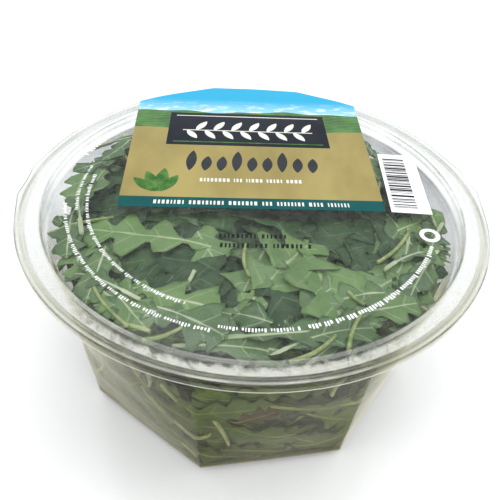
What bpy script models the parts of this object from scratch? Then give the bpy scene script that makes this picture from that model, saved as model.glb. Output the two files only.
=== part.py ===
"""A shut bowl of rocket leaves: a clear bowl with an eight-sided base and a round rim,
a flat film lid sealed to that rim, and the heap of loose leaves inside.
All sizes are in metres. The origin is the middle of the base and +Z is up."""

import math

import bmesh
import bpy
import numpy as np

MM = 0.001

# The bowl. The base and the wall are measured on their outside, the upright band above
# the ledge on its inside, and the rim on its top and its outer edge.
SIDES = 8
BASE_CORNER_RADIUS = 79.6 * MM
FIRST_CORNER = math.radians(33.6)
BASE_ROUNDING = 5.0 * MM
WALL_TOP_RADIUS = 84.6 * MM
LEDGE_HEIGHT = 83.2 * MM
LEDGE_RISE = 0.8 * MM
BAND_RADIUS = 85.4 * MM
RIM_RADIUS = 95.0 * MM
RIM_HEIGHT = 91.3 * MM
RIM_FILLET = 0.5 * MM
LIP_DROP = 3.0 * MM
BEAD_RADIUS = 88.7 * MM
BEAD_WIDTH = 1.6 * MM
BEAD_RISE = 0.3 * MM
WALL = 0.8 * MM
STEPS_ROUND_BOWL = 48
WALL_ROWS = 1
ROUNDING_ROWS = 3

# The film lid, with the corners where its cut edge stands out past the rim.
GAP = 0.3 * MM
FILM_THICKNESS = 0.3 * MM
FILM_RADIUS = 95.0 * MM
FILM_CORNERS = (
    (math.radians(5.2), 96.6 * MM),
    (math.radians(15.2), 96.2 * MM),
    (math.radians(79.0), 96.6 * MM),
    (math.radians(105.0), 96.9 * MM),
    (math.radians(174.5), 96.2 * MM),
    (math.radians(187.0), 96.2 * MM),
)
STEPS_ROUND_FILM = 72

# The heap of leaves and its core.
SEED = 15
HEAP_FLOOR = WALL + GAP
HEAP_TOP = 91.0 * MM
WALL_CLEARANCE = 0.5 * MM
FRONT = math.radians(270.0)
FRONT_RECESS = 0.6 * MM
BACK_RECESS = 12.0 * MM
RECESS_STARTS = 40.0 * MM
RECESS_ENDS = 86.0 * MM
CORE_DEPTH = 6.2 * MM
CORE_LUMP = 0.9 * MM
SHOULDER_DROP = 5.0 * MM
STEPS_ROUND_CORE = 32
CORE_SIDE_ROWS = 5
CORE_TOP_ROWS = 6
WALL_LEAVES = 15

# One leaf: its share of the length at each cross rib, and the half width there.
# The stem comes first, then two pairs of side lobes, then the broad end lobe.
LEAF_PLAN = (
    (0.00, 0.09),
    (0.24, 0.12),
    (0.37, 0.72),
    (0.46, 0.46),
    (0.61, 0.98),
    (0.70, 0.62),
    (0.86, 1.00),
    (1.00, 0.22),
)
LEAF_THICKNESS = 0.9 * MM
LEAF_DEPTH = 1.0 * MM
LEAF_DIP = 6.6 * MM
LEAF_DIP_POWER = 6
LEAF_FOLD = 1.4 * MM
LEAF_RIPPLE = 0.8 * MM
LEAF_BOW = 0.07

# The leaves on top that show through the film: the places of the stem's end and of
# the leaf's tip, and the leaf's half width, in millimetres.
TOP_LEAVES = (
    (21, -6, 34, -68, 14),
    (-9, -70, 23, -26, 13),
    (-3, -31, -64, -31, 10),
    (-56, -50, -13, -63, 11),
    (-16, -79, 49, -66, 9),
    (63, -14, 45, -52, 11),
    (8, -72, 34, -46, 9),
    (-20, -44, -34, -73, 8),
    (66, -34, 30, -60, 10),
    (11, -4, -2, -52, 11),
    (-60, -24, -22, -8, 12),
    (-74, -10, -44, -46, 9),
    (-28, -4, -12, -40, 10),
    (56, 10, 70, -34, 10),
    (38, -2, 62, -40, 9),
    (-66, 14, -30, 22, 11),
    (-40, 46, 2, 20, 12),
    (10, 58, -18, 16, 12),
    (60, 26, 22, 42, 11),
    (28, 12, 66, -4, 11),
    (30, 56, 24, 8, 11),
    (-52, -62, -22, -77, 8),
    (68, -44, 38, -72, 8),
)

# The leaves against the front of the wall: the angle round the bowl and the height of
# the stem's end and of the leaf's tip, and the half width, in degrees and millimetres.
FRONT_LEAVES = (
    (276, 57, 250, 40, 12),
    (307, 38, 276, 50, 9),
    (270, 70, 296, 62, 9),
    (236, 66, 246, 24, 10),
    (262, 16, 292, 22, 10),
    (300, 66, 322, 34, 10),
    (226, 30, 206, 62, 10),
    (318, 14, 342, 40, 10),
    (246, 70, 214, 74, 10),
    (254, 12, 224, 20, 10),
    (300, 10, 326, 68, 10),
    (232, 44, 268, 36, 11),
    (296, 30, 268, 24, 9),
)


def clear_scene():
    """Removes whatever the scene holds at the start."""
    for leftover in list(bpy.data.objects):
        bpy.data.objects.remove(leftover, do_unlink=True)


def new_collection(name):
    """A collection linked to the scene."""
    made = bpy.data.collections.new(name)
    bpy.context.scene.collection.children.link(made)
    return made


def material(name, colour, roughness, alpha=1.0, transmission=0.0):
    """A Principled material with the piece's own colour and finish."""
    made = bpy.data.materials.new(name)
    made.use_nodes = True
    shader = made.node_tree.nodes["Principled BSDF"]
    shader.inputs["Base Color"].default_value = (*colour, 1.0)
    shader.inputs["Metallic"].default_value = 0.0
    shader.inputs["Roughness"].default_value = roughness
    shader.inputs["Alpha"].default_value = alpha
    shader.inputs["Transmission Weight"].default_value = transmission
    return made


def mesh_object(name, collection, points, faces, finish):
    """A mesh object from its points and its faces, which already point outwards."""
    mesh = bpy.data.meshes.new(name)
    mesh.from_pydata([tuple(point) for point in points], [], faces)
    mesh.materials.append(finish)
    made = bpy.data.objects.new(name, mesh)
    collection.objects.link(made)
    return made


def turn_faces_out(mesh):
    """Turns the faces of a closed shape outwards."""
    turned = bmesh.new()
    turned.from_mesh(mesh)
    bmesh.ops.recalc_face_normals(turned, faces=turned.faces)
    turned.to_mesh(mesh)
    turned.free()


def octagon(angle):
    """The reach of an eight-sided plan at an angle, as a share of its corner radius."""
    half_side = math.pi / SIDES
    from_flat = np.mod(angle - FIRST_CORNER, 2.0 * half_side) - half_side
    return math.cos(half_side) / np.cos(from_flat)


def smooth_step(value, low, high):
    """A soft climb from 0 at low to 1 at high."""
    share = np.clip((value - low) / (high - low), 0.0, 1.0)
    return share * share * (3.0 - 2.0 * share)


def wall_radius(angle, height):
    """The outside of the wall: straight lines from the octagon up to the round top."""
    share = np.clip(height / LEDGE_HEIGHT, 0.0, 1.0)
    return (1.0 - share) * BASE_CORNER_RADIUS * octagon(angle) + share * WALL_TOP_RADIUS


def bowl_rows(angle):
    """The outside of the bowl's sheet at each angle, as rows of (radius, height). On the
    rim that is the underside, and the sheet's thickness lies above it."""
    rows = [(wall_radius(angle, 0.0) - BASE_ROUNDING, 0.0 * angle)]
    for turn in np.linspace(0.0, math.pi / 2.0, ROUNDING_ROWS + 1)[1:]:
        height = BASE_ROUNDING * (1.0 - math.cos(turn))
        inset = BASE_ROUNDING * (1.0 - math.sin(turn))
        rows.append((wall_radius(angle, height) - inset, height + 0.0 * angle))
    for height in np.linspace(BASE_ROUNDING, LEDGE_HEIGHT, WALL_ROWS + 1)[1:]:
        rows.append((wall_radius(angle, height), height + 0.0 * angle))
    bead_half = BEAD_WIDTH / 2.0
    band = BAND_RADIUS + WALL
    lip = RIM_RADIUS - WALL
    under = RIM_HEIGHT - WALL
    rim = (
        (band, LEDGE_HEIGHT + LEDGE_RISE),
        (band, under - RIM_FILLET),
        (band + RIM_FILLET, under),
        (BEAD_RADIUS - bead_half, under),
        (BEAD_RADIUS, under + BEAD_RISE),
        (BEAD_RADIUS + bead_half, under),
        (lip - RIM_FILLET, under),
        (lip, under - RIM_FILLET),
        (lip, RIM_HEIGHT - LIP_DROP),
    )
    rows += [(radius + 0.0 * angle, height + 0.0 * angle) for radius, height in rim]
    return rows


def ring_faces(rows, around, first=0):
    """Four-sided faces between rings of points that follow each other in the list."""
    faces = []
    for row in range(rows - 1):
        for step in range(around):
            after = (step + 1) % around
            low = first + row * around
            high = low + around
            faces.append((low + step, low + after, high + after, high + step))
    return faces


def make_tray(collection):
    """The clear bowl: an open surface carried round the profile, thickened inwards."""
    angle = FIRST_CORNER + np.arange(STEPS_ROUND_BOWL) * 2.0 * math.pi / STEPS_ROUND_BOWL
    rows = bowl_rows(angle)
    points = [(0.0, 0.0, 0.0)]
    for radius, height in rows:
        points += list(zip(radius * np.cos(angle), radius * np.sin(angle), height))
    faces = [
        (0, 1 + (step + 1) % STEPS_ROUND_BOWL, 1 + step) for step in range(STEPS_ROUND_BOWL)
    ]
    faces += ring_faces(len(rows), STEPS_ROUND_BOWL, first=1)
    finish = material("clear_plastic", (0.90, 0.93, 0.90), 0.08, alpha=0.3, transmission=0.9)
    tray = mesh_object("tray", collection, points, faces, finish)
    wall = tray.modifiers.new("wall", "SOLIDIFY")
    wall.thickness = WALL
    wall.offset = -1.0
    wall.use_even_offset = True
    tray.data.shade_smooth()
    tray.data.set_sharp_from_angle(angle=math.radians(30.0))
    return tray


def film_radius(angle):
    """The film's reach: a circle, with straight cuts that touch it and meet at corners."""
    reach = np.full_like(angle, FILM_RADIUS)
    for corner, corner_radius in FILM_CORNERS:
        half_cut = math.acos(FILM_RADIUS / corner_radius)
        away = np.abs(np.mod(angle - corner + math.pi, 2.0 * math.pi) - math.pi)
        lean = np.clip(half_cut - away, 0.0, None)
        reach = np.maximum(reach, FILM_RADIUS / np.cos(lean))
    return reach


def make_film(collection):
    """The film lid: a flat outline with the film's thickness."""
    even = np.linspace(0.0, 2.0 * math.pi, STEPS_ROUND_FILM, endpoint=False)
    angle = np.sort(np.append(even, [corner for corner, _ in FILM_CORNERS]))
    reach = film_radius(angle)
    outline = bpy.data.curves.new("film_outline", "CURVE")
    outline.dimensions = "2D"
    outline.fill_mode = "BOTH"
    outline.extrude = FILM_THICKNESS / 2.0
    edge = outline.splines.new("POLY")
    edge.points.add(len(angle) - 1)
    edge.use_cyclic_u = True
    for point, place_x, place_y in zip(edge.points, reach * np.cos(angle), reach * np.sin(angle)):
        point.co = (place_x, place_y, 0.0, 1.0)
    outline.materials.append(material("clear_film", (0.93, 0.95, 0.94), 0.06, alpha=0.2))
    film = bpy.data.objects.new("film_lid", outline)
    film.location.z = RIM_HEIGHT + BEAD_RISE + GAP + FILM_THICKNESS / 2.0
    collection.objects.link(film)
    return film


def heap_radius(angle, height):
    """How far the leaves reach: just inside the wall, and drawn in at the top of the back."""
    lift = np.clip(BASE_ROUNDING - height, 0.0, BASE_ROUNDING)
    rounding = BASE_ROUNDING - np.sqrt(BASE_ROUNDING**2 - lift**2)
    inner = wall_radius(angle, height) - rounding - WALL - WALL_CLEARANCE
    back_share = 0.5 * (1.0 - np.cos(angle - FRONT))
    uneven = 0.22 * np.sin(3.0 * angle + 0.7) + 0.12 * np.sin(7.0 * angle)
    recess = FRONT_RECESS + BACK_RECESS * back_share * (1.0 + uneven)
    return inner - recess * smooth_step(height, RECESS_STARTS, RECESS_ENDS)


def heap_top(place_x, place_y):
    """The height of the leaves: nearly level, lower towards the wall, with soft lumps."""
    across = np.hypot(place_x, place_y)
    angle = np.arctan2(place_y, place_x)
    share = across / heap_radius(angle, np.full_like(across, RECESS_ENDS))
    lumps = np.sin(place_x / (11.0 * MM)) * np.cos(place_y / (13.0 * MM) + 1.0)
    return HEAP_TOP - SHOULDER_DROP * share**4 - CORE_LUMP * (1.0 + lumps)


def make_core(collection, finish):
    """The inside of the heap: rings up the side, over the shoulder and in to the top."""
    angle = np.arange(STEPS_ROUND_CORE) * 2.0 * math.pi / STEPS_ROUND_CORE
    floor = HEAP_FLOOR + CORE_DEPTH
    shoulder = HEAP_TOP - SHOULDER_DROP - CORE_DEPTH - 2.0 * CORE_LUMP
    rings = []
    for row, height in enumerate(np.linspace(floor, shoulder, CORE_SIDE_ROWS)):
        lumps = CORE_LUMP * np.sin(5.0 * angle + 2.1 * row)
        radius = heap_radius(angle, np.full_like(angle, height)) - CORE_DEPTH + lumps
        rings.append((radius * np.cos(angle), radius * np.sin(angle), 0.0 * angle + height))
    edge_x, edge_y, _ = rings[-1]
    for share in np.linspace(1.0, 0.0, CORE_TOP_ROWS + 1)[1:-1]:
        place_x = edge_x * share
        place_y = edge_y * share
        rings.append((place_x, place_y, heap_top(place_x, place_y) - CORE_DEPTH))
    points = [point for ring in rings for point in zip(*ring)]
    faces = ring_faces(len(rings), STEPS_ROUND_CORE)
    faces.append(tuple(range(STEPS_ROUND_CORE)))
    last = len(points) - STEPS_ROUND_CORE
    middle = float(heap_top(np.zeros(1), np.zeros(1))[0]) - CORE_DEPTH
    points.append((0.0, 0.0, middle))
    for step in range(STEPS_ROUND_CORE):
        faces.append((last + step, last + (step + 1) % STEPS_ROUND_CORE, len(points) - 1))
    core = mesh_object("rocket_leaves", collection, points, faces, finish)
    turn_faces_out(core.data)
    return core


def leaf_grid(stem, tip, half_width, draw):
    """A leaf on a flat chart, from its stem's end to its tip: the places of its three
    points at each rib, and how deep each lies below the outside of the heap. Its edges
    are folded up or down from the midrib, and the stem's end or the tip dips inwards."""
    plan = np.array(LEAF_PLAN)
    share = plan[:, :1] + np.zeros((1, 3))
    side = np.array([[-1.0, 0.0, 1.0]])
    run = np.subtract(tip, stem)
    length = math.hypot(*run)
    forward = run / length
    bow = draw.uniform(-LEAF_BOW, LEAF_BOW) * length * np.sin(math.pi * share)
    across = side * plan[:, 1:] * half_width + bow
    along = share * length
    place_1 = stem[0] + forward[0] * along - forward[1] * across
    place_2 = stem[1] + forward[1] * along + forward[0] * across
    falls = share if draw.uniform() < 0.45 else 1.0 - share
    ripple = side * np.sin(draw.uniform(5.0, 9.0) * share + draw.uniform(0.0, 6.0))
    fold = np.abs(side) if draw.uniform() < 0.5 else 1.0 - np.abs(side)
    depth = LEAF_DEPTH + LEAF_DIP * falls**LEAF_DIP_POWER + LEAF_FOLD * fold
    return place_1, place_2, depth + LEAF_RIPPLE * (0.5 + 0.5 * ripple)


def leaf_faces(ribs):
    """Faces of a thin leaf of three points a rib: both faces split alike, then the edge."""
    count = ribs * 3
    faces = []
    for rib in range(ribs - 1):
        for column in range(2):
            a = rib * 3 + column
            b, c, d = a + 1, a + 4, a + 3
            faces += [(a, b, c), (a, c, d)]
            faces += [(count + a, count + c, count + b), (count + a, count + d, count + c)]
    edge = [0, 1, 2]
    edge += [rib * 3 + 2 for rib in range(1, ribs)]
    edge += [(ribs - 1) * 3 + 1, (ribs - 1) * 3]
    edge += [rib * 3 for rib in range(ribs - 2, 0, -1)]
    for here, after in zip(edge, edge[1:] + edge[:1]):
        faces += [(here, count + here, count + after), (here, count + after, after)]
    return faces


def add_leaf(collection, name, outer, inner, finish):
    """A leaf's solid between its outer and its inner face."""
    points = np.concatenate([outer.reshape(-1, 3), inner.reshape(-1, 3)])
    leaf = mesh_object(name, collection, points, leaf_faces(len(LEAF_PLAN)), finish)
    turn_faces_out(leaf.data)
    return leaf


def add_top_leaf(collection, index, draw, finish):
    """A leaf lying on top of the heap, drawn in where it would cross the wall."""
    stem_x, stem_y, tip_x, tip_y, half_width = np.array(TOP_LEAVES[index]) * MM
    place_x, place_y, depth = leaf_grid((stem_x, stem_y), (tip_x, tip_y), half_width, draw)
    angle = np.arctan2(place_y, place_x)
    across = np.hypot(place_x, place_y)
    pull = np.minimum(1.0, heap_radius(angle, np.full_like(angle, RECESS_ENDS)) / across)
    place_x = place_x * pull.min()
    place_y = place_y * pull.min()
    half = LEAF_THICKNESS / 2.0
    height = heap_top(place_x, place_y) - depth
    outer = np.stack([place_x, place_y, height + half], axis=-1)
    inner = np.stack([place_x, place_y, height - half], axis=-1)
    return add_leaf(collection, f"top_leaf_{index}", outer, inner, finish)


def add_side_leaf(collection, name, leaf, draw, finish):
    """A leaf pressed against the bowl's wall, following it round."""
    mean_radius = (BASE_CORNER_RADIUS + WALL_TOP_RADIUS) / 2.0
    stem_angle, stem_height, tip_angle, tip_height, half_width = leaf
    stem = (math.radians(stem_angle) * mean_radius, stem_height * MM)
    tip = (math.radians(tip_angle) * mean_radius, tip_height * MM)
    round_wall, height, depth = leaf_grid(stem, tip, half_width * MM, draw)
    height = np.clip(height, HEAP_FLOOR + CORE_DEPTH, HEAP_TOP - SHOULDER_DROP)
    angle = round_wall / mean_radius
    limit = heap_radius(angle, height)
    faces = []
    for radius in (limit - depth + LEAF_THICKNESS / 2.0, limit - depth - LEAF_THICKNESS / 2.0):
        faces.append(np.stack([radius * np.cos(angle), radius * np.sin(angle), height], axis=-1))
    return add_leaf(collection, name, faces[0], faces[1], finish)


def wall_leaf(index, draw):
    """A leaf's place on the wall round the sides and the back, evenly spread: steps of
    two fixed shares, one round the wall and one up it, never fall in line."""
    middle_angle = 340.0 + 230.0 * ((0.5 + 0.7549 * index) % 1.0)
    middle_height = 16.0 + 58.0 * ((0.5 + 0.5698 * index) % 1.0)
    lean = draw.uniform(0.0, 2.0 * math.pi)
    half_length = draw.uniform(26.0, 34.0)
    spread = math.degrees(half_length * MM * math.cos(lean) / WALL_TOP_RADIUS)
    rise = min(half_length * abs(math.sin(lean)), 22.0) * np.sign(math.sin(lean))
    return (
        middle_angle - spread,
        middle_height - rise,
        middle_angle + spread,
        middle_height + rise,
        draw.uniform(9.0, 12.0),
    )


def keep_largest_shell(mesh):
    """Drops loose scraps and fills sealed hollows, which are shells of their own."""
    shells = bmesh.new()
    shells.from_mesh(mesh)
    left = set(shells.verts)
    groups = []
    while left:
        group = set()
        front = [left.pop()]
        while front:
            vert = front.pop()
            group.add(vert)
            near = {edge.other_vert(vert) for edge in vert.link_edges} & left
            left -= near
            front += near
        groups.append(group)
    largest = max(groups, key=len)
    scraps = [vert for group in groups if group is not largest for vert in group]
    bmesh.ops.delete(shells, geom=scraps, context="VERTS")
    bmesh.ops.triangulate(shells, faces=shells.faces)
    shells.to_mesh(mesh)
    shells.free()


def make_leaves(collection):
    """The heap as one solid: the core with every leaf that shows joined on."""
    draw = np.random.default_rng(SEED)
    finish = material("leaf_green", (0.10, 0.22, 0.06), 0.5)
    heap = make_core(collection, finish)
    loose = new_collection("loose_leaves")
    loose.hide_render = True
    for index in range(len(TOP_LEAVES)):
        add_top_leaf(loose, index, draw, finish)
    for index, leaf in enumerate(FRONT_LEAVES):
        add_side_leaf(loose, f"front_leaf_{index}", leaf, draw, finish)
    for index in range(WALL_LEAVES):
        add_side_leaf(loose, f"wall_leaf_{index}", wall_leaf(index, draw), draw, finish)
    join = heap.modifiers.new("join", "BOOLEAN")
    join.operation = "UNION"
    join.operand_type = "COLLECTION"
    join.collection = loose
    join.solver = "MANIFOLD"
    graph = bpy.context.evaluated_depsgraph_get()
    joined = bpy.data.meshes.new_from_object(heap.evaluated_get(graph))
    heap.modifiers.remove(join)
    heap.data = joined
    for leaf in list(loose.objects):
        bpy.data.objects.remove(leaf, do_unlink=True)
    bpy.data.collections.remove(loose)
    keep_largest_shell(heap.data)
    return heap


def main():
    clear_scene()
    pack = new_collection("tray_of_rocket")
    make_tray(pack)
    make_film(pack)
    make_leaves(pack)


main()
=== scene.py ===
"""A shut salad bowl of rocket: a clear bowl with an eight-sided base and a round rim, a
clear film lid with printed fields, and the heap of loose leaves that it holds.
Every piece is a surface worked out on a grid of numbers, in metres, +Z up."""

import math

import bmesh
import bpy
import mathutils
import numpy as np
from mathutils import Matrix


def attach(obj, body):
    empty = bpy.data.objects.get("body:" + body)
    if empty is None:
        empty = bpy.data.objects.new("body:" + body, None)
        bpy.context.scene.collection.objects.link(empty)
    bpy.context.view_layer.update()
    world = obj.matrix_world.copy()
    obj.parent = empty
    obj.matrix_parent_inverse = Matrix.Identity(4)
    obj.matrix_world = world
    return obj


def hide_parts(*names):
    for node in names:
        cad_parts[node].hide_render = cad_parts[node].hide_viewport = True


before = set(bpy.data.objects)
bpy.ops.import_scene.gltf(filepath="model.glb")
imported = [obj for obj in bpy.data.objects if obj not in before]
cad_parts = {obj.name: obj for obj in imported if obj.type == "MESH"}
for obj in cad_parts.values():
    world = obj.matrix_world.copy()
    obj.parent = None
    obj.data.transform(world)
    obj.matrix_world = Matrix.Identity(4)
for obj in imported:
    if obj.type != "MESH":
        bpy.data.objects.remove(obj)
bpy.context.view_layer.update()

MM = 0.001
TURN = 2 * math.pi
FRONT = math.radians(270)
BACK = math.radians(90)

# The bowl, in millimetres.
BASE_CORNER_RADIUS = 79.6
FIRST_CORNER = math.radians(33.6)
BASE_ROUNDING = 5
PANEL_RISE = 0.9
WALL_TOP_RADIUS = 84.6
LEDGE_HEIGHT = 83.2
BAND_RADIUS = 85.4
RIM_RADIUS = 94.9
RIM_TOP = 91.4
LIP_HEIGHT = 88.3
SHEET = 0.5

# The film lid, in millimetres. Its cut corners are given as (degrees, radius).
FILM_RADIUS = 95
FILM_CORNERS = (
    (5.2, 96.6), (15.2, 96.2), (79, 96.6), (105, 96.9), (174.5, 96.2), (187, 96.2),
)
FILM_UNDER = 91.74
FILM_SHEET = 0.07
PRINT_GAP = 0.015
INK = 0.012
OVERPRINT = 0.02

# The label on the film: its front left corner, its turn, its size and how far its sides
# lean out towards the back.
LABEL_CORNER = (-54.3, -15.7)
LABEL_TURN = math.radians(3.75)
LABEL_WIDTH = 108.4
LABEL_DEPTH = 87
LABEL_FLARE = 4.1

# The heap of leaves, in millimetres. HEAP_RECESS says how far it stands back from the
# wall at its top, as (degrees, millimetres).
HEAP_TOP = 91.2
HEAP_RECESS = (
    (0, 3), (8, 2.5), (24, 14), (38, 5), (60, 7), (90, 11), (112, 4), (124, 1),
    (134, 9), (145, 3), (154, 0.6), (166, 0.8), (176, 2.5), (190, 4), (202, 0.8),
    (225, 0.5), (300, 0.3), (322, 0.3), (336, 0.6), (350, 3.5),
)
RECESS_STARTS = 40
RECESS_ENDS = 86
MEAN_WALL_RADIUS = 82
LOWEST_LEAF = 1.5
HIGHEST_WALL_LEAF = HEAP_TOP - 3.5
STEM_SIDES = 10
GOLDEN_ANGLE = 2.39996


# ---- meshes


def join(*parts):
    """The parts spread to one shape and put side by side along a new last axis."""
    return np.stack(np.broadcast_arrays(*parts), axis=-1)


def polar(radius, angle, height):
    """Points at a radius and an angle round the middle of the bowl, and at a height."""
    return join(radius * np.cos(angle), radius * np.sin(angle), height)


def climb(value, low, high):
    """A soft climb from 0 at low to 1 at high."""
    share = np.clip((value - low) / (high - low), 0, 1)
    return share * share * (3 - 2 * share)


def ridge(value, middle, half_width):
    """A soft bell of height 1 round a middle value."""
    return np.exp(-(((value - middle) / half_width) ** 2))


def grid_quads(rows, columns, closed, first=0):
    """Four-sided faces over a grid of points, kept row by row; closed joins the last
    column to the first. Seen with the rows running forward and the columns to the left,
    the faces look at the viewer."""
    column = np.arange(columns if closed else columns - 1)
    after = (column + 1) % columns
    low = first + np.arange(rows - 1)[:, None] * columns
    high = low + columns
    return join(low + column, high + column, high + after, low + after).reshape(-1, 4)


def repeated(faces, count, size):
    """The same faces for each of many like shapes, whose points follow each other."""
    return (faces + size * np.arange(count)[:, None, None]).reshape(-1, faces.shape[1])


def round_steps(rows, columns):
    """For a grid of rings: its number of points, the first point of its last ring, and
    the steps round a ring, each with the step after it."""
    step = np.arange(columns)
    return rows * columns, (rows - 1) * columns, step, (step + 1) % columns


def shell_faces(rows, columns):
    """A thin round dish: an outer and an inner grid of rings, a strip between their last
    rings, and for each a fan from its first ring to one more point in the middle."""
    size, last, step, after = round_steps(rows, columns)
    return [
        grid_quads(rows, columns, True)[:, ::-1],
        grid_quads(rows, columns, True, size),
        join(last + step, last + after, size + last + after, size + last + step),
        join(2 * size, after, step),
        join(2 * size + 1, size + step, size + after),
    ]


def capped_faces(rows, columns):
    """A closed tube: a grid of rings, and a fan from each end ring to one more point."""
    size, last, step, after = round_steps(rows, columns)
    fans = [join(size, after, step), join(size + 1, last + step, last + after)]
    return grid_quads(rows, columns, True), np.concatenate(fans)


def closed_sheets(upper, lower):
    """Closed thin solids between an upper and a lower grid of points, given for many
    sheets at once (sheet, row, column, xyz): both faces, and a strip round the edge."""
    count, rows, columns, _ = upper.shape
    size = rows * columns
    top = grid_quads(rows, columns, False)
    index = np.arange(size).reshape(rows, columns)
    edge = np.concatenate([index[0, :-1], index[:-1, -1], index[-1, :0:-1], index[:0:-1, 0]])
    after = np.roll(edge, -1)
    strip = join(edge, after, after + size, edge + size)
    faces = np.concatenate([top, top[:, ::-1] + size, strip])
    return np.stack([upper, lower], axis=1).reshape(-1, 3), repeated(faces, count, 2 * size)


def add_piece(name, points, faces, material, node=None, smooth=True):
    """A piece of the object from its points (millimetres) and its lists of faces. It
    rides on the pack, takes its finish from the slot and stands for the CAD node."""
    mesh = bpy.data.meshes.new(name)
    rows = [row for group in faces for row in group.tolist()]
    mesh.from_pydata((points.reshape(-1, 3) * MM).tolist(), [], rows)
    mesh.polygons.foreach_set("use_smooth", np.full(len(mesh.polygons), smooth))
    mesh.materials.append(material)
    piece = bpy.data.objects.new(name, mesh)
    bpy.context.scene.collection.objects.link(piece)
    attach(piece, "root")
    if node:
        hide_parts(node)
    return piece


def add_marks(piece, name, values):
    """Keeps one number for each point of a piece under a name, for its material."""
    kept = piece.data.attributes.new(name, "FLOAT", "POINT")
    kept.data.foreach_set("value", np.asarray(values, dtype=np.float32).ravel())


def add_chart(piece, name, places):
    """Gives a piece a UV map: each face corner takes the two numbers of its point."""
    chart = piece.data.uv_layers.new(name=name)
    corners = np.empty(len(piece.data.loops), dtype=np.int32)
    piece.data.loops.foreach_get("vertex_index", corners)
    flat = np.asarray(places, dtype=np.float32).reshape(-1, 2)
    chart.data.foreach_set("uv", flat[corners].ravel())


def both_sides(values):
    """Numbers of a sheet's grid, once for its upper and once for its lower points."""
    return np.stack([values, values], axis=1)


def turn_out(piece):
    """Turns the faces of a closed piece outwards."""
    turned = bmesh.new()
    turned.from_mesh(piece.data)
    bmesh.ops.recalc_face_normals(turned, faces=turned.faces)
    turned.to_mesh(piece.data)
    turned.free()


# ---- materials


class Finish:
    """A material made node by node."""

    def __init__(self, name):
        self.material = bpy.data.materials.new(name)
        self.material.use_nodes = True
        self.tree = self.material.node_tree
        self.tree.nodes.clear()

    def node(self, kind, sockets=None, **settings):
        """A node with its settings, and a link or a plain value in each socket given."""
        made = self.tree.nodes.new("ShaderNode" + kind)
        for name, value in settings.items():
            setattr(made, name, value)
        for name, value in (sockets or {}).items():
            socket = made.inputs[name]
            if isinstance(value, bpy.types.NodeSocket):
                self.tree.links.new(value, socket)
            elif value is not None:
                socket.default_value = (*value, 1) if socket.type == "RGBA" else value
        return made

    def math(self, operation, *values, clamp=False):
        sockets = dict(enumerate(values))
        return self.node("Math", sockets, operation=operation, use_clamp=clamp).outputs[0]

    def times(self, first, second):
        return self.math("MULTIPLY", first, second)

    def plus(self, first, second):
        return self.math("ADD", first, second)

    def climb(self, value, low, high, low_out=0, high_out=1):
        """A soft climb of a value between two limits."""
        sockets = {"Value": value, "From Min": low, "From Max": high}
        sockets |= {"To Min": low_out, "To Max": high_out}
        return self.node("MapRange", sockets, interpolation_type="SMOOTHSTEP").outputs[0]

    def blend(self, share, first, second, kind="MIX"):
        sockets = {0: share, 6: first, 7: second}
        return self.node("Mix", sockets, data_type="RGBA", blend_type=kind).outputs[2]

    def place(self, squeeze=(1, 1, 1), chart=None):
        """Object coordinates, or a UV map's, scaled along each axis."""
        if chart:
            source = self.node("UVMap", uv_map=chart).outputs[0]
        else:
            source = self.node("TexCoord").outputs["Object"]
        return self.node("Mapping", {"Vector": source, "Scale": squeeze}).outputs[0]

    def chart_parts(self, chart):
        """The two numbers of a UV map."""
        return self.node("SeparateXYZ", {0: self.place(chart=chart)}).outputs

    def noise(self, place, scale, detail=2, roughness=0.5, distortion=0):
        sockets = {"Vector": place, "Scale": scale, "Detail": detail}
        sockets |= {"Roughness": roughness, "Distortion": distortion}
        return self.node("TexNoise", sockets).outputs[0]

    def mark(self, name):
        return self.node("Attribute", attribute_name=name).outputs["Fac"]

    def bump(self, height, strength, distance, normal=None):
        sockets = {"Height": height, "Strength": strength, "Distance": distance * MM}
        return self.node("Bump", sockets | {"Normal": normal}).outputs[0]

    def mix(self, share, first, second):
        return self.node("MixShader", {0: share, 1: first, 2: second}).outputs[0]

    def film_waves(self):
        """The film's soft waves, as a turned normal."""
        broad = self.bump(self.noise(self.place(), 28, 2, 0.5, 0.4), 0.5, 0.8)
        return self.bump(self.noise(self.place((1, 0.25, 1)), 120), 0.3, 0.12, broad)

    def finish(self, surface):
        self.node("OutputMaterial", {"Surface": surface})
        return self.material

    def opaque(self, colour, roughness, normal, specular):
        """Ends a material that lets no light through."""
        sockets = {"Base Color": colour, "Roughness": roughness, "Normal": normal}
        sockets["Specular IOR Level"] = specular
        return self.finish(self.node("BsdfPrincipled", sockets).outputs[0])


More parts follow.
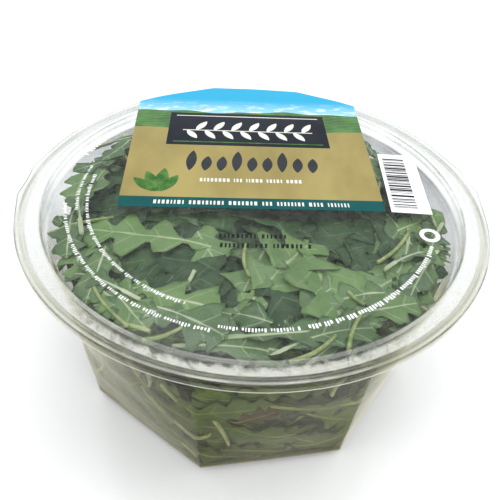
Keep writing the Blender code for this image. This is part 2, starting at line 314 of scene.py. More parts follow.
def clear_plastic(name, tints_and_shades, waves, mirror, least, cloudy, glare):
    """Thin clear sheet: it lets light through with a slight tint, darker at a slant as painted
    shade for a thick sheet's dark edges, and mirrors the share least + mirror (1 - cosine)^7.
    Its marks say where painted shade darkens and warms it on the wall or greys it on the
    shoulder, where fine painted dark edges and painted highlight lines run, and where it is
    ragged with whitish painted glare. Its waves are (scale, height in millimetres)."""
    made = Finish(name)
    place = made.place()
    normal = None
    for scale, height in waves:
        normal = made.bump(made.noise(place, scale, 2, 0.5, 0.3), 0.5, height, normal)
    slant = made.node("LayerWeight", {"Blend": 0.5, "Normal": normal}).outputs["Facing"]
    steep = made.math("POWER", slant, 7)
    mirrored = made.math("MULTIPLY_ADD", steep, mirror, least, clamp=True)
    mottle = made.noise(place, 240, 5, 0.65, 0.8)
    patch = made.climb(made.noise(place, 45, 3, 0.6), 0.35, 0.65, 0.35, 1)
    # Painted shade: the wall and shoulder marks darken the see-through colour, warm on the wall and
    # grey on the upper wall.
    colour = made.blend(made.mark("wall"), tints_and_shades["plain"], tints_and_shades["wall"])
    colour = made.blend(made.mark("shoulder"), colour, tints_and_shades["shoulder"])
    # Painted shade: darker at a slant, for the dark edges of a thick sheet.
    colour = made.blend(made.climb(slant, 0.45, 0.95), colour, (0.84, 0.855, 0.85), "MULTIPLY")
    # Painted dark edge lines where the sheet bends.
    dark = made.math("MULTIPLY", made.mark("painted_dark_edge_line"), patch, clamp=True)
    colour = made.blend(dark, colour, (0.61, 0.63, 0.64), "MULTIPLY")
    through = made.node("BsdfTransparent", {"Color": colour})
    sockets = {"Color": tints_and_shades["gloss"], "Roughness": 0.03, "Normal": normal}
    gloss = made.node("BsdfGlossy", sockets)
    # The milky white is partly the plastic's real haze and partly painted glare and painted
    # highlight lines.
    milk_and_glare = made.node("BsdfDiffuse", {"Color": (0.86, 0.85, 0.79)})
    swing = made.math("SUBTRACT", mottle, 0.5)
    # Painted glare, ragged, on the rim.
    ragged = made.math("MULTIPLY_ADD", swing, 1.8, made.mark("ragged"))
    ragged = made.times(made.climb(ragged, 0.4, 1), glare)
    # Painted highlight lines.
    light = made.times(made.times(made.mark("painted_highlight_line"), patch), 0.5)
    cloud = made.climb(mottle, 0.3, 0.7, 0, cloudy)
    white = made.math("ADD", made.plus(ragged, light), cloud, clamp=True)
    body = made.mix(white, through.outputs[0], milk_and_glare.outputs[0])
    return made.finish(made.mix(mirrored, body, gloss.outputs[0]))


def leaf_finish(name, shade, specular):
    """Rocket leaf, its colours times a painted shade: darker for leaves deep in the heap,
    darker and warmer for leaves behind the wall, and bluer under the film as a painted part
    of the film's veil. Mid green that varies from leaf to leaf and in soft clouds, a pale
    midrib and stem, thin side veins that sweep forward, and a fine quilted surface."""
    made = Finish(name)
    tone = made.mark("tone")
    place = made.place()
    along, aside, _ = made.chart_parts("leaf_chart")
    across = made.math("ABSOLUTE", aside)
    wobble = made.times(made.noise(place, 120), 0.035)
    run = made.plus(made.math("SUBTRACT", along, made.times(across, 0.85)), wobble)
    comb = made.math("PINGPONG", made.times(run, 11), 0.5)
    inner = made.climb(across, 0.02, 0.13, 1, 0)
    vein = made.times(made.climb(comb, 0, 0.075, 1, 0), made.plus(inner, 0.25))
    sockets = {"Vector": made.place(chart="leaf_chart"), "Scale": 42}
    cells = made.node("TexVoronoi", sockets, feature="DISTANCE_TO_EDGE")
    net = made.climb(cells.outputs["Distance"], 0, 0.12, 1, 0)
    cloud = made.noise(place, 55, 3, 0.6)
    dark = made.blend(tone, (0.022, 0.056, 0.019), (0.07, 0.148, 0.032))
    light = made.blend(tone, (0.062, 0.128, 0.038), (0.15, 0.255, 0.065))
    blade = made.blend(made.climb(cloud, 0.3, 0.7, 0.22, 0.78), dark, light)
    blade = made.blend(made.times(net, 0.12), blade, (0.2, 0.32, 0.12))
    blade = made.blend(made.times(vein, 0.34), blade, (0.3, 0.42, 0.2))
    blade = made.blend(made.times(made.mark("brown"), 0.9), blade, (0.085, 0.04, 0.022))
    rib = made.blend(made.climb(cloud, 0.35, 0.65), (0.27, 0.34, 0.15), (0.46, 0.51, 0.3))
    colour = made.blend(made.climb(made.mark("pale"), 0.3, 0.9), blade, rib)
    # Painted shade: the colours times the shade of this copy of the leaf material.
    colour = made.blend(1, colour, shade, "MULTIPLY")
    normal = made.bump(made.plus(made.times(vein, -0.6), made.times(net, -0.35)), 0.5, 0.25)
    normal = made.bump(made.noise(place, 320), 0.25, 0.2, normal)
    return made.opaque(colour, made.climb(cloud, 0.3, 0.7, 0.42, 0.58), normal, specular)


def stem_finish(name, dark, light):
    """Cut stems: pale yellow-green, lighter and darker in streaks along them."""
    made = Finish(name)
    fine = made.noise(made.place(), 420, 3, 0.6)
    both = made.plus(made.times(fine, 0.5), made.times(made.noise(made.place(), 90), 0.5))
    colour = made.blend(made.climb(both, 0.38, 0.62), dark, light)
    return made.opaque(colour, 0.45, made.bump(fine, 0.4, 0.3), 0.4)


def core_finish():
    """The shaded inside of the heap: deep green and brown-green patches."""
    made = Finish("leaf_shade")
    cloud = made.climb(made.noise(made.place(), 60, 3, 0.6, 0.6), 0.35, 0.65)
    colour = made.blend(cloud, (0.006, 0.014, 0.007), (0.02, 0.045, 0.016))
    return made.opaque(colour, 0.75, made.bump(made.noise(made.place(), 45), 0.6, 2), 0.15)


def print_finish(name, low, high, scale, stretch=(1, 1, 1)):
    """Ink on the film: two near colours in soft patches under the film's gloss."""
    made = Finish(name)
    cloud = made.noise(made.place(stretch), scale, 4, 0.6)
    colour = made.blend(made.climb(cloud, 0.3, 0.7), low, high)
    return made.opaque(colour, 0.2, made.film_waves(), 0.12)


def sky_finish():
    """The sky field: clear blue that pales towards the fields, with soft white clouds."""
    made = Finish("print_sky")
    back = made.chart_parts("print_chart")[1]
    sky = made.blend(made.climb(back, 0.78, 0.95), (0.3, 0.62, 0.8), (0.002, 0.37, 0.62))
    puff = made.noise(made.place((18, 46, 1), "print_chart"), 0.75, 5, 0.6, 0.2)
    cloud = made.times(made.climb(puff, 0.48, 0.66), made.climb(back, 0.93, 0.8))
    colour = made.blend(cloud, sky, (0.8, 0.84, 0.86))
    return made.opaque(colour, 0.2, made.film_waves(), 0.3)


def fields_finish():
    """The green fields: rows of crops as fine stripes, lighter and darker by patches."""
    made = Finish("print_fields")
    place = made.place(chart="print_chart")
    rows = made.plus(made.chart_parts("print_chart")[1], made.times(made.noise(place, 3), 0.1))
    furrow = made.climb(made.math("PINGPONG", made.times(rows, 62), 0.5), 0.05, 0.35)
    patch = made.climb(made.noise(place, 9, 4, 0.65), 0.35, 0.65)
    green = made.blend(patch, (0.008, 0.052, 0.012), (0.06, 0.185, 0.035))
    colour = made.blend(made.times(furrow, 0.6), green, (0.12, 0.27, 0.07))
    return made.opaque(colour, 0.2, made.film_waves(), 0.3)


def floor_finish():
    """The pale floor: white with a faint sheen."""
    made = Finish("pale_floor")
    cloud = made.noise(made.place(), 3)
    return made.opaque(made.blend(cloud, (0.93, 0.93, 0.925), (0.95, 0.95, 0.945)), 0.16, None, 0.4)


# ---- the bowl


def octagon(angle):
    """The reach of an eight-sided plan at an angle, as a share of its corner radius."""
    half_side = math.pi / 8
    from_flat = np.mod(angle - FIRST_CORNER, 2 * half_side) - half_side
    return math.cos(half_side) / np.cos(from_flat)


def wall_radius(angle, height):
    """The outside of the wall: straight lines from the octagon up to the round top."""
    share = np.clip(height / LEDGE_HEIGHT, 0, 1)
    return (1 - share) * BASE_CORNER_RADIUS * octagon(angle) + share * WALL_TOP_RADIUS


def corner_angles(steps):
    """Angles round the bowl that crowd towards the eight corners: in each eighth the
    angle is t - 0.14 sin(2 pi t) of an eighth of a turn."""
    t = np.arange(steps) / steps
    part = t - 0.14 * np.sin(TURN * t)
    return (FIRST_CORNER + (np.arange(8)[:, None] + part) * TURN / 8).ravel()


def bend_rows(middle, radius, first, last):
    """Six points on a bend: middle + radius (cos, sin) between two angles."""
    turn = np.radians(np.linspace(first, last, 6))
    return [(middle[0] + radius * math.cos(a), middle[1] + radius * math.sin(a)) for a in turn]


def rim_profile():
    """The sheet's underside from the ledge to the lip, as (radius, height): a small step
    out, an upright band, the flat rim with a raised bead and a fine ring, and the lip."""
    under = RIM_TOP - SHEET
    band = BAND_RADIUS + SHEET
    lip = RIM_RADIUS - SHEET
    points = [(WALL_TOP_RADIUS, LEDGE_HEIGHT), (WALL_TOP_RADIUS + 0.3, 83.9)]
    points += [(band - 0.45, 84.15), (band - 0.1, 84.4), (band, 84.9)]
    points += [(band + 0.02 * step, 84.9 + 0.62 * step) for step in range(1, 9)]
    points += bend_rows((band + 0.86, under - 0.6), 0.6, 180, 90)
    radius = np.linspace(band + 1.2, lip - 0.9, 44)
    bead = 0.28 * ridge(radius, 88.6, 0.42)
    ring = 0.16 * ridge(radius, 92.6, 0.28)
    dish = -0.18 * climb(radius, 89.2, 90.2) * (1 - climb(radius, 91.6, 92.4))
    points += list(zip(radius, under + bead + ring + dish))
    points += bend_rows((lip - 0.7, under - 0.7), 0.7, 85, 5)
    return points + [(lip + out, LIP_HEIGHT + up) for out, up in ((0, 1.5), (0.02, 0.7), (0.05, 0))]


def make_bowl(finish):
    """The clear bowl: its outside is the profile carried round the octagon that turns
    into a circle, its inside the same surface moved in by the sheet's thickness."""
    angle = corner_angles(26)
    rings = []
    inset = wall_radius(angle, 0) - BASE_ROUNDING
    for share in (0.06, 0.2, 0.4, 0.6, 0.72, 0.76, 0.78, 0.8, 0.82, 0.86, 0.93, 1):
        rings.append(polar(inset * share, angle, PANEL_RISE * (1 - climb(share, 0.75, 0.81))))
    for turn in np.linspace(0, math.pi / 2, 9)[1:]:
        height = BASE_ROUNDING * (1 - math.cos(turn))
        radius = wall_radius(angle, height) - BASE_ROUNDING * (1 - math.sin(turn))
        rings.append(polar(radius, angle, height))
    for height in np.linspace(BASE_ROUNDING, LEDGE_HEIGHT, 32)[1:-1]:
        swell = 0.16 * np.sin(3 * angle + 0.11 * height) * np.sin(height / 9 + 2 * np.cos(angle))
        swell = swell * np.sin(math.pi * height / LEDGE_HEIGHT)
        rings.append(polar(wall_radius(angle, height) - 0.1 + swell, angle, height))
    rings += [polar(radius, angle, height) for radius, height in rim_profile()]
    outer = np.stack(rings)
    down = np.gradient(outer, axis=0)
    along = np.roll(outer, -1, axis=1) - np.roll(outer, 1, axis=1)
    normal = np.cross(along, down)
    normal /= np.linalg.norm(normal, axis=-1, keepdims=True)
    inner = outer - SHEET * normal
    middle = [[0, 0, PANEL_RISE], [0, 0, PANEL_RISE + SHEET]]
    points = np.concatenate([outer.reshape(-1, 3), inner.reshape(-1, 3), middle])
    faces = shell_faces(*outer.shape[:2])
    bowl = add_piece("clear_bowl_shell", points, faces, finish, "tray")
    for name, values in bowl_marks(*points.T).items():
        add_marks(bowl, name, values)


def bowl_marks(x, y, height):
    """Where the bowl's see-through colour holds painted light and shade, and where it is ragged
    with painted glare. The rim's painted dark edges and painted highlight lines are rings at
    a radius, the band's rings at a height; both are stronger towards the front. The wall mark
    darkens the lower wall, partly a warm tint of the sheet and partly painted shade, most in
    the bend of the foot, and on the front of the rim it is a painted refraction of the leaves'
    green. The shoulder is the upper wall, greyed as painted shade most at the back, in soft
    uneven folds."""
    across, angle = np.hypot(x, y), np.arctan2(y, x)
    on_rim = climb(height, 90, 90.4)
    off_rim = (1 - on_rim) * climb(height, 82, 82.5)
    nearness = (0.5 + 0.5 * np.cos(angle - FRONT - 0.15)) ** 2.5
    # Painted dark edge lines on the rim and the band.
    dark = on_rim * (ridge(across, 86.1, 0.2) + ridge(across, 91.5, 0.25)) * (0.3 + 0.2 * nearness)
    dark += on_rim * ridge(across, 93.2, 0.95) * (0.12 + 0.33 * nearness)
    band = ridge(height, 83.6, 0.35) + ridge(height, 84.7, 0.25) + ridge(height, 89.7, 0.15)
    dark += 0.75 * off_rim * (band + 0.8 * ridge(height, 88.6, 0.25))
    # Painted highlight lines on the rim and the band.
    light = ridge(across, 86.6, 0.18) + ridge(across, 91, 0.16) + 0.8 * ridge(across, 92.2, 0.14)
    band = 0.8 * ridge(height, 84.2, 0.2) + 0.6 * ridge(height, 89.2, 0.18)
    light = on_rim * light + (1 - on_rim) * band * climb(height, 83, 83.4)
    # Where the rim carries painted glare.
    ragged = climb(across, 85, 90.6) * (1 - climb(across, 90.9, 91.1))
    # Painted shade on the lower wall and foot, and painted refraction of the leaves' green on the
    # front of the rim.
    wall = 0.25 * (1 - climb(height, 35, 75)) + 0.75 * (1 - climb(height, 2.5, 7))
    wall += 0.6 * on_rim * nearness * climb(across, 91.2, 92)
    # Painted shade on the upper wall, most at the back.
    back = climb(np.sin(angle + 0.17), -0.2, 0.6) * (1 - 0.8 * ridge(angle, BACK, 0.55))
    folds = 1 + 0.12 * np.sin(23 * angle) * np.sin(9 * angle + 0.5)
    shoulder = climb(height, 30, 74) * (1 - climb(height, 84.5, 86))
    return {
        "wall": wall,
        "shoulder": (0.22 + 0.65 * back) * folds * shoulder,
        "painted_dark_edge_line": np.clip(dark, 0, 1),
        "painted_highlight_line": np.clip(light, 0, 1),
        "ragged": on_rim * (0.15 + 0.85 * nearness) * ragged,
    }


# ---- the film and its print


def film_reach(angle):
    """The film's reach: a circle, with straight cuts that touch it and meet at corners."""
    reach = np.full_like(angle, FILM_RADIUS)
    for corner, corner_radius in FILM_CORNERS:
        half_cut = math.acos(FILM_RADIUS / corner_radius)
        away = np.abs(np.mod(angle - math.radians(corner) + math.pi, TURN) - math.pi)
        reach = np.maximum(reach, FILM_RADIUS / np.cos(np.clip(half_cut - away, 0, None)))
    return reach


def film_height(x, y):
    """How high the film's underside lies: taut, with faint waves of a tenth of a
    millimetre away from the rim."""
    inner = 1 - climb(np.hypot(x, y), 70, 86)
    waves = np.sin(x / 17 + 0.6 * np.sin(y / 21)) * np.cos(y / 23 + 0.7)
    return FILM_UNDER + 0.06 * inner * waves


def make_film(finish):
    """The film lid: rings of points from the middle to the cut edge, above and below."""
    even = np.linspace(0, TURN, 216, endpoint=False)
    angle = np.sort(np.append(even, [math.radians(corner) for corner, _ in FILM_CORNERS]))
    share = [np.linspace(0.04, 0.88, 22), np.linspace(0.89, 0.98, 16), [0.99, 0.994, 0.997, 1]]
    share = np.concatenate(share)[:, None]
    reach = film_reach(angle) * share
    x, y = reach * np.cos(angle), reach * np.sin(angle)
    low = join(x, y, film_height(x, y)).reshape(-1, 3)
    middle = film_height(0, 0)
    ends = [[0, 0, middle], [0, 0, middle + FILM_SHEET]]
    points = np.concatenate([low, low + np.array([0, 0, FILM_SHEET]), ends])
    faces = shell_faces(*x.shape)
    film = add_piece("clear_film_sheet", points, faces, finish, "film_lid")
    turn_out(film)
    across = np.hypot(points[:, 0], points[:, 1])
    nearness = np.append(np.tile(np.repeat(share, len(angle)), 2), [0, 0])
    # Painted dark edge lines and painted highlight lines at the seal and at the cut edge.
    dark = ridge(across, 85.6, 0.3) + climb(nearness, 0.992, 0.998)
    light = 0.6 * ridge(across, 86.2, 0.3) + 0.8 * ridge(nearness, 0.99, 0.003)
    add_marks(film, "wall", 0 * across)
    # Painted shade greys the film over the rim.
    add_marks(film, "shoulder", climb(across, 85.5, 86.5))
    add_marks(film, "painted_dark_edge_line", np.clip(dark, 0, 1))
    add_marks(film, "painted_highlight_line", light)
    add_marks(film, "ragged", 0 * across)


def label_place(across, back):
    """A point of the label's own plan, in millimetres across from its front left corner
    and back from its front edge, on the film's plan."""
    cosine, sine = math.cos(LABEL_TURN), math.sin(LABEL_TURN)
    x = LABEL_CORNER[0] + across * cosine - back * sine
    return x, LABEL_CORNER[1] + across * sine + back * cosine


def label_back(across):
    """How far back the label reaches: to just inside the film's cut edge."""
    back = np.full_like(across, 80)
    for _ in range(12):
        x, y = label_place(across, back)
        back += film_reach(np.arctan2(y, x)) - 0.15 - np.hypot(x, y)
    return back


def hill_line(across):
    """The line between the sky and the green hills."""
    return 79.6 + 0.9 * np.sin(across / 9) + 0.6 * np.sin(across / 3.7 + 1) + 0.008 * across


def verge_line(across):
    """The line between the green fields and the gold panel."""
    bend = 0.35 * np.sin(across / 5) - 1.2 * np.sin(math.pi * across / LABEL_WIDTH)
    return 63.2 - 0.006 * across + bend


def add_print(name, x, y, lift, finish, chart=None):
    """Printed skins of ink on the film in one piece, each over its own grid of places
    (skin, row, column), or one over a single grid."""
    if x.ndim == 2:
        x, y = x[None], y[None]
    height = film_height(x, y) + FILM_SHEET + PRINT_GAP + lift
    points, faces = closed_sheets(join(x, y, height + INK), join(x, y, height))
    skins = add_piece(name, points, [faces], finish, smooth=False)
    if chart is not None:
        add_chart(skins, "print_chart", both_sides(chart[None]))
    turn_out(skins)


def add_band(name, left, right, low, high, lift, finish, columns, rows):
    """A field of the label between two lines, each a distance from the label's front
    edge or a function of the place across. A full-width field flares with the label."""
    share = np.linspace(0, 1, columns)
    rise = np.linspace(0, 1, rows)[:, None]
    across = left + (right - left) * share + 0 * rise
    low, high = (line(across) if callable(line) else line for line in (low, high))
    back = low + (high - low) * rise
    flare = LABEL_FLARE if right - left == LABEL_WIDTH else 0
    spread = (across / LABEL_WIDTH - 0.5) * flare * back / LABEL_DEPTH
    x, y = label_place(across + spread, back)
    add_print(name, x, y, lift, finish, chart=join(across, back) / 100)


def leaf_motifs(name, leaves, finish, lift):
    """Plain printed leaf shapes in one piece. A leaf is (foot u, v, tip u, v, half width)
    on the label; its half width is the sine of the way along it to the power 0.8."""
    share = np.linspace(0, 1, 13)[:, None]
    u, v, tip_u, tip_v, width = leaves.T[:, :, None, None]
    run_u, run_v = tip_u - u, tip_v - v
    half = width * (0.06 + 0.94 * np.sin(math.pi * share) ** 0.8)
    aside = np.linspace(-1, 1, 3) * half / np.hypot(run_u, run_v)
    x, y = label_place(u + run_u * share - run_v * aside, v + run_v * share + run_u * aside)
    add_print(name, x, y, lift, finish)


def mark_row(first, last, widths, gap, draw):
    """Starts and ends of marks along a line: drawn widths with even gaps between them,
    and a wider gap after each three to nine marks."""
    count = 400
    wide = draw.uniform(*widths, count)
    words = np.cumsum(draw.integers(3, 10, count))
    step = wide + gap * (1 + 1.8 * np.isin(np.arange(count), words))
    start = first + np.concatenate([[0], np.cumsum(step)[:-1]])
    kept = start + wide < last
    return join(start[kept], (start + wide)[kept])


def add_boxes(name, boxes, finish, on_label=False):
    """Many small printed boxes in one piece. A box is (low x, high x, low y, high y) on
    the film's plan or the label's."""
    x, y = np.broadcast_arrays(boxes[:, 0:2, None], boxes[:, None, 2:4])
    if on_label:
        x, y = label_place(x, y)
    add_print(name, x, y, OVERPRINT, finish)


def arc_marks(radius, first, last, height, widths, gap, draw):
    """Plain upright marks along an arc of the film, from one angle to the other, as the
    places of their corners. Their heights are drawn a little uneven."""
    degrees = 180 / (math.pi * radius)
    rows = mark_row(0, (last - first) / degrees, widths, gap, draw)
    angle = np.radians(first + rows * degrees)[:, :, None]
    tall = height * draw.choice([0.72, 1], len(rows), p=[0.6, 0.4])
    reach = radius - height / 2 + join(0, tall)[:, None, :]
    return np.stack([reach * np.cos(angle), reach * np.sin(angle)])


def make_label():
    """The label: sky, hills, fields, a gold panel with a dark plaque, and a teal strip,
    with plain leaf shapes and rows of plain marks on them."""
    gold = print_finish("print_gold", (0.255, 0.205, 0.072), (0.385, 0.315, 0.115), 22, (1, 0.5, 1))
    teal = print_finish("print_teal", (0.002, 0.064, 0.066), (0.005, 0.088, 0.087), 30)
    navy = print_finish("print_navy", (0.006, 0.009, 0.015), (0.014, 0.018, 0.027), 30)
    cream = print_finish("print_cream", (0.66, 0.66, 0.6), (0.78, 0.78, 0.72), 60)
    leaf = print_finish("print_leaf", (0.03, 0.11, 0.022), (0.1, 0.235, 0.05), 160)
    slate = print_finish("print_slate", (0.022, 0.026, 0.03), (0.035, 0.04, 0.044), 60)
    over = 2 * OVERPRINT
    for band in (
        ("label_sky", 0, LABEL_WIDTH, hill_line, label_back, 0, sky_finish(), 60, 10),
        ("label_fields", 0, LABEL_WIDTH, verge_line, hill_line, 0, fields_finish(), 60, 6),
        ("label_gold_panel", 0, LABEL_WIDTH, 7, verge_line, 0, gold, 60, 12),
        ("label_teal_strip", 0, LABEL_WIDTH, 0, 7, 0, teal, 60, 4),
        ("label_plaque", 15, 92, 47.5, 78, OVERPRINT, navy, 30, 8),
        ("plaque_line_front", 18, 89, 50, 50.7, over, leaf, 30, 2),
        ("plaque_line_back", 18, 89, 74.8, 75.5, over, cream, 30, 2),
    ):
        add_band(*band)
    turn = np.arange(14)
    foot = 24 + 4.3 * turn
    vine = join(foot, 61, foot + 5, 61 + np.where(turn % 2, 8.5, -7.5), 1.7)
    leaf_motifs("plaque_vine_leaves", vine, cream, over)
    add_band("plaque_vine_stem", 22, 85, 60.7, 61.4, over, cream, 30, 2)
    step = np.arange(9)
    upright = join(27 + 6.8 * step, 26.5, 28.2 + 6.8 * step, 38 + 4.5 * (step % 3 == 0), 2.3)
    leaf_motifs("panel_dark_leaves", upright, slate, OVERPRINT)
    fan = np.array([
        (14, 10.5, 4, 20, 2.6), (14.6, 10.5, 9, 25, 2.7),
        (15.2, 10.5, 16.5, 27.5, 2.9), (16, 10.5, 22.5, 22.5, 2.6),
    ])
    leaf_motifs("panel_green_leaves", fan, leaf, OVERPRINT)
    draw = np.random.default_rng(9)
    for name, first, last, low, gap, widths in (
        ("panel_cream_marks", 32, 76, 18.3, 0.65, (0.5, 1.2)),
        ("strip_cream_marks", 14, 95, 2.3, 0.75, (0.5, 1.25)),
    ):
        start, end = mark_row(first, last, widths, gap, draw).T
        add_boxes(name, join(start, end, low, low + 2.5), cream, on_label=True)


def make_small_print():
    """Plain marks in the places of small print, the bar field and a plain ring."""
    draw = np.random.default_rng(5)
    white = print_finish("print_white", (0.8, 0.82, 0.81), (0.9, 0.91, 0.9), 80)
    black = print_finish("print_black", (0.01, 0.01, 0.012), (0.022, 0.022, 0.024), 80)
    fine, bold = (0.32, 0.72), (0.5, 0.95)
    arcs = (
        (76.4, 192, 262, 1.55, fine, 0.5), (74.4, 263, 284, 1.55, fine, 0.5),
        (74.4, 285.5, 338, 1.95, bold, 0.45), (68.2, 176, 253, 1.55, fine, 0.5),
        (72, 171, 196, 1.3, fine, 0.5), (80.6, 146, 153, 1.3, fine, 0.5),
        (78.4, 143, 153, 1.3, fine, 0.5), (79.5, 155, 167, 4.2, (0.8, 1.5), 0.9),
    )
    x, y = np.concatenate([arc_marks(*arc, draw) for arc in arcs], axis=1)
    add_print("small_print_marks", x, y, OVERPRINT, white)
    x, y = np.linspace(56.2, 73, 6)[:, None], np.linspace(-8.6, 35.4, 14)[None, :]
    add_print("bar_patch", x, y, 0, white)
    widths = draw.choice([0.33, 0.66, 0.99, 1.3], 60, p=[0.45, 0.3, 0.15, 0.1])
    starts = -5.2 + np.concatenate([[0], np.cumsum(widths)[:-1]])
    dark = (np.arange(60) % 2 == 0) & (starts + widths < 32.6)
    add_boxes("bar_code_bars", join(57.9, 67.6, starts, starts + widths)[dark], black)
    marks = []
    for left, front, length in ((-12.4, -31, 26), (-11.6, -36.3, 34.5)):
        start, end = mark_row(0, length, (0.6, 1.15), 0.8, draw).T
        low = front + 0.065 * start
        marks.append(join(left + start, left + end, low, low + 2.4))
    add_boxes("date_marks", np.concatenate(marks), black)
    angle, radius = np.linspace(0, TURN, 49)[:, None], np.array([2.3, 4])
    x, y = 69 + radius * np.cos(angle), -22 + radius * np.sin(angle)
    add_print("plain_ring_mark", x, y, OVERPRINT, white)


# ---- the leaves


def inner_wall(angle, height):
    """The inside of the bowl's wall."""
    lift = np.clip(BASE_ROUNDING - height, 0, BASE_ROUNDING)
    rounding = BASE_ROUNDING - np.sqrt(BASE_ROUNDING**2 - lift**2)
    return wall_radius(angle, height) - rounding - SHEET - 0.3


def heap_radius(angle, height):
    """How far the leaves reach: just inside the wall, and at the top drawn in by the
    recess of the nearest angles."""
    recess = np.interp(np.degrees(angle), *np.array(HEAP_RECESS).T, period=360)
    return inner_wall(angle, height) - recess * climb(height, RECESS_STARTS, RECESS_ENDS)


def heap_top(x, y):
    """The height of the leaves: nearly level, lower towards the wall, with soft lumps."""
    angle = np.arctan2(y, x)
    share = np.hypot(x, y) / heap_radius(angle, RECESS_ENDS)
    lumps = np.sin(x / 11) * np.cos(y / 13 + 1)
    back_share = 0.5 * (1 - np.cos(angle - FRONT))
    return HEAP_TOP - (2 + 1.6 * back_share) * share**4 - 0.7 * (1 + lumps)


def make_core(finish):
    """The shaded inside of the heap: rings up the side and in over the top, lumpy."""
    angle = np.linspace(0, TURN, 120, endpoint=False)
    side_top = 80
    rings = []
    for row, height in enumerate(np.linspace(1.7, side_top, 28)):
        lumps = 0.9 * np.sin(5 * angle + 0.9 * row) + 0.7 * np.sin(11 * angle - 0.7 * row)
        depth = 0.8 + 5.4 * climb(height, 1, 22) + lumps * min(1, height / 14)
        rings.append(polar(heap_radius(angle, height) - depth, angle, height))
    edge_x, edge_y, _ = rings[-1].T
    for share in np.linspace(1, 0.04, 22)[1:]:
        x, y = edge_x * share, edge_y * share
        lumps = 1.1 * np.sin(x / 6) * np.sin(y / 7)
        height = np.minimum(heap_top(x, y) - 6.5 + lumps, side_top + 40 * (1 - share))
        rings.append(join(x, y, height))
    grid = np.stack(rings)
    middle = [[0, 0, grid[0, :, 2].mean()], [0, 0, grid[-1, :, 2].mean()]]
    points = np.concatenate([grid.reshape(-1, 3), middle])
    quads, fans = capped_faces(*grid.shape[:2])
    faces = [quads[:, ::-1], fans]
    add_piece("leaf_heap_core", points, faces, finish, "rocket_leaves")


def leaf_shapes(leaves, rows, columns, draw):
    """Leaves on a flat chart, all at once. A leaf is (stem x, y, tip x, y, half width).
    Along the leaf the stem comes first; the blade's half width is a wedge that widens to
    a broad end, cut by rounded notches between the side lobes, which sweep forward.
    Out of the chart it is folded along the midrib, waved at its edges and arched, and
    one end dips. Returns places on the chart, lift, half thickness, chart and paleness."""
    x, y, tip_x, tip_y, width = leaves.T[:, :, None, None]

    def drawn(low, high):
        return draw.uniform(low, high, (len(leaves), 1, 1))

    share = np.linspace(0, 1, rows)[:, None]
    side = np.linspace(-1, 1, columns)
    side = np.sign(side) * np.abs(side) ** 1.25
    rim = np.abs(side)
    stem_share = drawn(0.14, 0.26)
    stem_rows = 0.16
    above_stem = stem_share + (share - stem_rows) / (1 - stem_rows) * (1 - stem_share)
    share = np.where(share < stem_rows, share / stem_rows * stem_share, above_stem)
    blade = np.clip((share - stem_share) / (1 - stem_share), 0, 1)
    length = np.hypot(tip_x - x, tip_y - y)
    ahead_x, ahead_y = (tip_x - x) / length, (tip_y - y) / length
    broad = drawn(0.6, 0.74)
    widen = climb(blade, -0.05, broad) ** drawn(0.35, 0.85)
    past_broad = np.clip(blade - broad, 0, None) / (1 - broad)
    close = np.clip(1 - past_broad**1.7, 0, 1) ** 0.8
    lobes = drawn(2.5, 4.1)
    depth = drawn(0.48, 0.86)
    phase = np.where(side < 0, drawn(0, 0.3), drawn(0, 0.45))
    notch = (0.5 + 0.5 * np.cos(TURN * (lobes * blade + phase))) ** 1.4
    notch = notch * climb(blade, 0.02, 0.2) * (1 - climb(blade, 0.72, 0.92))
    stem_width = drawn(0.6, 1)
    half = width * widen * close * (1 - depth * notch) * climb(blade, 0, 0.08)
    half = np.maximum(half, stem_width * (1 - 0.75 * blade) * np.where(blade > 0.98, 0.3, 1))
    bow = drawn(-0.09, 0.09) * length * np.sin(math.pi * share)
    tooth = 0.09 * np.sin(TURN * (drawn(5, 8) * blade + 0.3 * np.sign(side))) * rim**3
    across = side * half * (1 + tooth) + bow
    sweep = drawn(0.18, 0.45) * rim**1.4 * half * climb(1 - blade, 0, 0.25)
    along = share * length + sweep
    flat = rim * half
    fold = drawn(-0.16, 0.24) * flat
    ripple = drawn(0.3, 1.15) * rim**1.6
    waves = TURN * (drawn(1.6, 3.4) * blade)
    waves = waves + np.where(side < 0, drawn(0, 6), drawn(0, 6))
    ripple = ripple * np.sin(waves) * climb(blade, 0, 0.2)
    roll = drawn(-0.07, 0.07) * side * half
    arch = drawn(0.4, 2.4) * np.sin(math.pi * share)
    falls = np.where(drawn(0, 1) < 0.22, share, 1 - share)
    lift = fold + ripple + roll + arch - drawn(4, 9) * falls**3
    lift = lift - lift.max(axis=(1, 2), keepdims=True)
    rib = np.exp(-((flat / (0.6 - 0.36 * blade)) ** 2))
    stem = 1 - climb(blade, 0, 0.06)
    round_stem = half * np.sqrt(1 - side**2) * 0.85 + 0.05
    thick = (1 - stem) * (0.14 + 0.3 * rib * (1 - 0.7 * blade)) + stem * round_stem
    pale = np.maximum(stem, rib * (1 - 0.25 * blade))
    chart = join(along / 100 + drawn(0, 3), side * half / 100)
    first = x + ahead_x * along - ahead_y * across
    return first, y + ahead_y * along + ahead_x * across, lift, thick, chart, pale


def finish_leaves(name, upper, lower, chart, pale, tone, brown, finish):
    """Joins many leaves in one piece and keeps each one's tone, ribs and chart. Leaves of
    few faces keep only a trace of their ribs' paleness."""
    points, faces = closed_sheets(upper, lower)
    piece = add_piece(name, points, [faces], finish, "rocket_leaves")
    add_chart(piece, "leaf_chart", both_sides(chart))
    add_marks(piece, "pale", both_sides(pale * (1 if pale.shape[2] > 5 else 0.3)))
    flat = np.ones_like(pale)
    add_marks(piece, "tone", both_sides(flat * tone[:, None, None]))
    add_marks(piece, "brown", both_sides(flat * brown[:, None, None]))


